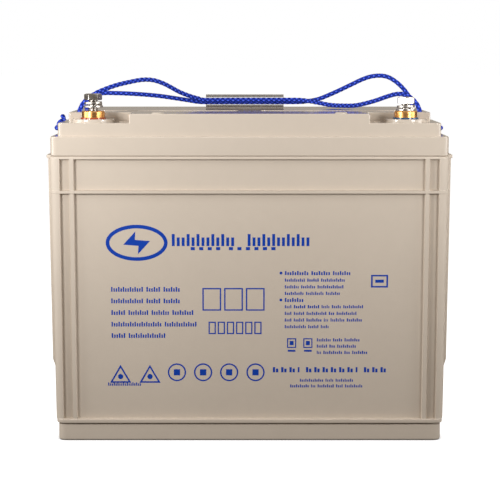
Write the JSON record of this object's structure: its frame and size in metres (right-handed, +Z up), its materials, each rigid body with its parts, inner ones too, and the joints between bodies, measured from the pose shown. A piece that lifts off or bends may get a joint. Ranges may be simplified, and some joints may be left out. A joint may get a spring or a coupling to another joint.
{
  "type": "deep cycle battery",
  "caption": "Sealed deep cycle battery with a ribbed case, stepped lid, brass screw terminals in corner recesses and a rope handle with a clear grip sleeve.",
  "frame": {"origin": "middle of the base, on the surface that the battery stands on", "axes": "+X along the length towards the negative terminal, +Y from the front to the back, +Z up; the terminals are near the front, at -Y"},
  "size_m": [0.336, 0.172, 0.3034],
  "materials": {
    "case_plastic": "warm grey moulded plastic, fine grain",
    "cover_plastic": "warm grey plastic, smooth",
    "brass": "turned brass",
    "positive_seal": "red sealing resin",
    "negative_seal": "blue sealing resin",
    "lead": "dull cast lead",
    "glass_mat": "white glass fibre mat",
    "bolt_steel": "stainless steel",
    "washer_steel": "bright stainless steel",
    "valve_rubber": "black rubber",
    "clear_sleeve": "clear flexible tube",
    "rope": "blue braided rope"
  },
  "bodies": {
    "battery": {"container": "case_plastic", "lid": "case_plastic", "left_vent_cover": "cover_plastic", "right_vent_cover": "cover_plastic", "positive_terminal": "brass", "negative_terminal": "brass", "positive_seal_ring": "positive_seal", "negative_seal_ring": "negative_seal", "positive_post": "lead", "negative_post": "lead", "handle_rope": "rope", "rope_knot": "rope", "positive_plates_1": "lead", "negative_plates_1": "lead", "glass_mats_1": "glass_mat", "cell_link_1": "lead", "positive_plates_2": "lead", "negative_plates_2": "lead", "glass_mats_2": "glass_mat", "cell_link_2": "lead", "positive_plates_3": "lead", "negative_plates_3": "lead", "glass_mats_3": "glass_mat", "cell_link_3": "lead", "positive_plates_4": "lead", "negative_plates_4": "lead", "glass_mats_4": "glass_mat", "cell_link_4": "lead", "positive_plates_5": "lead", "negative_plates_5": "lead", "glass_mats_5": "glass_mat", "cell_link_5": "lead", "positive_plates_6": "lead", "negative_plates_6": "lead", "glass_mats_6": "glass_mat"},
    "positive_washers": {"positive_flat_washer": "washer_steel", "positive_spring_washer": "washer_steel"},
    "positive_bolt": {"positive_bolt": "bolt_steel"},
    "negative_washers": {"negative_flat_washer": "washer_steel", "negative_spring_washer": "washer_steel"},
    "negative_bolt": {"negative_bolt": "bolt_steel"},
    "grip": {"grip_sleeve": "clear_sleeve"},
    "valve_cap_1": {"valve_cap_1": "valve_rubber"},
    "valve_cap_2": {"valve_cap_2": "valve_rubber"},
    "valve_cap_3": {"valve_cap_3": "valve_rubber"},
    "valve_cap_4": {"valve_cap_4": "valve_rubber"},
    "valve_cap_5": {"valve_cap_5": "valve_rubber"},
    "valve_cap_6": {"valve_cap_6": "valve_rubber"}
  },
  "joints": [
    {"name": "positive_bolt_lift", "type": "slide", "parent": "battery", "child": "positive_washers", "axis": [0, 0, 1], "range_m": [-0.00287, 0.00802]},
    {"name": "positive_bolt_turn", "type": "hinge", "parent": "positive_washers", "child": "positive_bolt", "pos_m": [-0.129, -0.0655, 0.28], "axis": [0, 0, 1], "range_deg": [-820.8, 2304]},
    {"name": "negative_bolt_lift", "type": "slide", "parent": "battery", "child": "negative_washers", "axis": [0, 0, 1], "range_m": [-0.00007, 0.01002]},
    {"name": "negative_bolt_turn", "type": "hinge", "parent": "negative_washers", "child": "negative_bolt", "pos_m": [0.129, -0.0655, 0.28], "axis": [0, 0, 1], "range_deg": [-14.4, 2880]},
    {"name": "grip_slide", "type": "slide", "parent": "battery", "child": "grip", "axis": [1, 0, 0], "range_m": [0, 0.012]},
    {"name": "valve_1_lift", "type": "slide", "parent": "battery", "child": "valve_cap_1", "axis": [0, 0, 1], "range_m": [0, 0.0005], "stiffness_N_per_m": 1500, "springref_m": -0.0005},
    {"name": "valve_2_lift", "type": "slide", "parent": "battery", "child": "valve_cap_2", "axis": [0, 0, 1], "range_m": [0, 0.0005], "stiffness_N_per_m": 1500, "springref_m": -0.0005},
    {"name": "valve_3_lift", "type": "slide", "parent": "battery", "child": "valve_cap_3", "axis": [0, 0, 1], "range_m": [0, 0.0005], "stiffness_N_per_m": 1500, "springref_m": -0.0005},
    {"name": "valve_4_lift", "type": "slide", "parent": "battery", "child": "valve_cap_4", "axis": [0, 0, 1], "range_m": [0, 0.0005], "stiffness_N_per_m": 1500, "springref_m": -0.0005},
    {"name": "valve_5_lift", "type": "slide", "parent": "battery", "child": "valve_cap_5", "axis": [0, 0, 1], "range_m": [0, 0.0005], "stiffness_N_per_m": 1500, "springref_m": -0.0005},
    {"name": "valve_6_lift", "type": "slide", "parent": "battery", "child": "valve_cap_6", "axis": [0, 0, 1], "range_m": [0, 0.0005], "stiffness_N_per_m": 1500, "springref_m": -0.0005}
  ],
  "couplings": [
    {"joint": "positive_bolt_lift", "follows": "positive_bolt_turn", "m_per_rad": 0.00019894},
    {"joint": "negative_bolt_lift", "follows": "negative_bolt_turn", "m_per_rad": 0.00019894}
  ]
}
